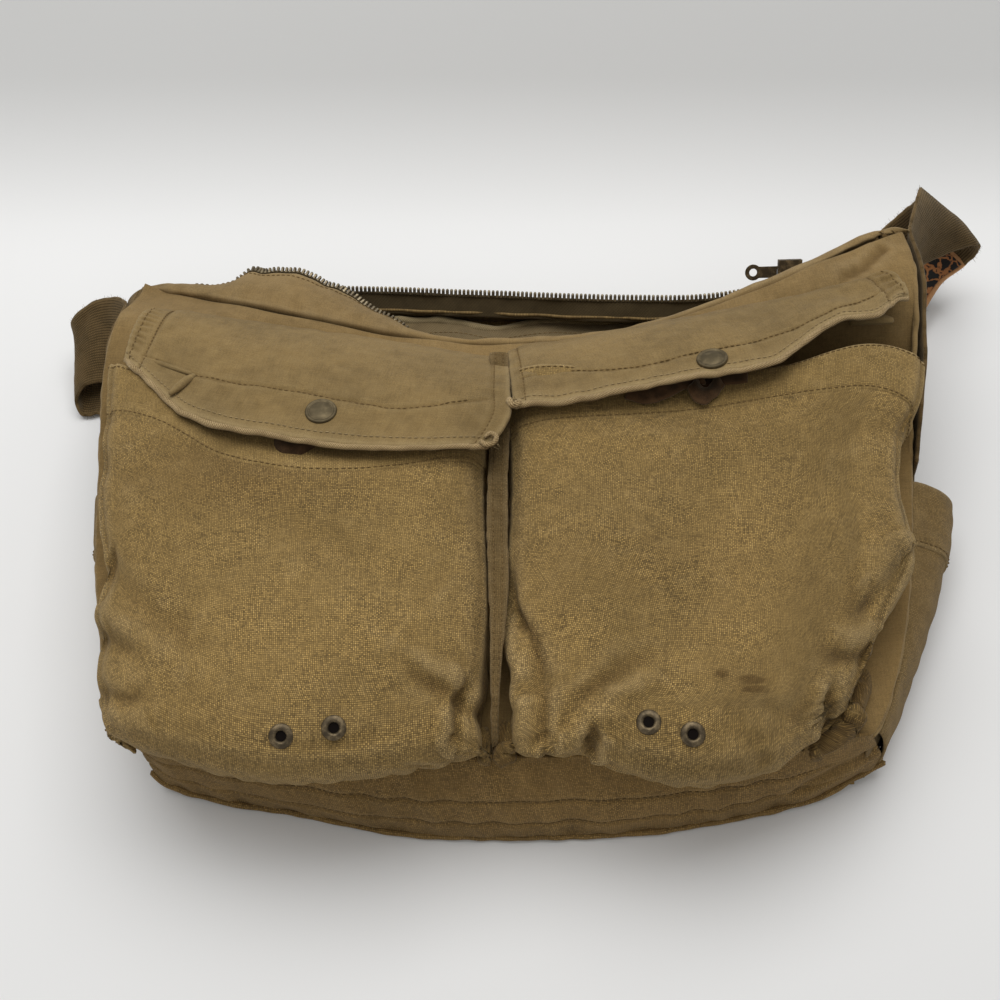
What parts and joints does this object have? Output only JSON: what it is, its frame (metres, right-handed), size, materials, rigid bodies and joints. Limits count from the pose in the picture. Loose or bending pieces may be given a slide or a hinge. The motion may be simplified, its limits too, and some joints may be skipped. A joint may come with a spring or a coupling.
{
  "type": "messenger bag",
  "caption": "Worn canvas messenger bag lying on its back, with flapped front cargo pockets, side slip pockets, open zipped mouth and webbing shoulder strap with a pad.",
  "frame": {"origin": "middle of the back panel's flat resting face", "axes": "+X to the right hand side as seen from above with the mouth away, +Y towards the mouth, +Z out of the front; the back rests on z = 0"},
  "size_m": [0.544, 0.3639, 0.1166],
  "materials": {
    "canvas": "washed cotton duck, faded at folds",
    "canvas_dark": "washed cotton duck, less faded",
    "piping": "worn cotton twill",
    "lining": "plain cotton twill",
    "zip_tape": "woven tape",
    "antique_brass": "dark antique plating",
    "patch_leather": "worn dark brown",
    "webbing": "ribbed cotton webbing",
    "pad": "worn tan",
    "pad_coating": "cracked black coating"
  },
  "bodies": {
    "bag": {"back_panel": "canvas", "bottom_panel": "canvas_dark", "gusset_left": "canvas", "gusset_right": "canvas", "front_panel": "canvas", "front_zip_facing": "canvas", "back_zip_facing": "canvas", "inner_pocket": "lining", "zip_tape_front": "zip_tape", "zip_tape_back": "zip_tape", "zip_teeth_front": "antique_brass", "zip_teeth_back": "antique_brass", "zip_stops": "antique_brass", "pocket_left": "canvas", "pocket_right": "canvas", "pocket_left_hem": "canvas", "pocket_right_hem": "canvas", "centre_welt": "canvas", "eyelets_left": "antique_brass", "eyelets_right": "antique_brass", "eyelet_washers_left": "antique_brass", "eyelet_washers_right": "antique_brass", "snap_stud_left": "antique_brass", "snap_stud_right": "antique_brass", "snap_patch_left": "patch_leather", "snap_patch_right": "patch_leather", "snap_post_left": "antique_brass", "snap_post_right": "antique_brass", "side_pocket_left": "canvas_dark", "side_pocket_right": "canvas_dark", "side_pocket_left_hem": "canvas_dark", "side_pocket_right_hem": "canvas_dark", "shoulder_strap": "webbing", "shoulder_pad": "pad", "shoulder_pad_lining": "pad_coating"},
    "flap_left_body": {"flap_left": "canvas", "flap_left_piping": "piping", "snap_cap_left": "antique_brass", "snap_socket_left": "antique_brass"},
    "flap_right_body": {"flap_right": "canvas", "flap_right_piping": "piping", "snap_cap_right": "antique_brass", "snap_socket_right": "antique_brass"},
    "zip_slider_body": {"zip_slider": "antique_brass"},
    "zip_pull_body": {"zip_pull": "antique_brass"}
  },
  "joints": [
    {"name": "flap_left_hinge", "type": "hinge", "parent": "bag", "child": "flap_left_body", "pos_m": [-0.09435, 0.0945, 0.06425], "axis": [-0.9964, 0.0423, 0.0736], "range_deg": [0, 100]},
    {"name": "flap_right_hinge", "type": "hinge", "parent": "bag", "child": "flap_right_body", "pos_m": [0.10125, 0.0945, 0.0762], "axis": [-0.9798, -0.0416, -0.1954], "range_deg": [0, 100]},
    {"name": "zip_slide", "type": "slide", "parent": "bag", "child": "zip_slider_body", "axis": [-0.9964, 0.0402, -0.0743], "range_m": [0, 0.3]},
    {"name": "zip_pull_hinge", "type": "hinge", "parent": "zip_slider_body", "child": "zip_pull_body", "pos_m": [0.16249, 0.15455, 0.04865], "axis": [0.0352, -0.6018, -0.7979], "range_deg": [0, 135]}
  ]
}
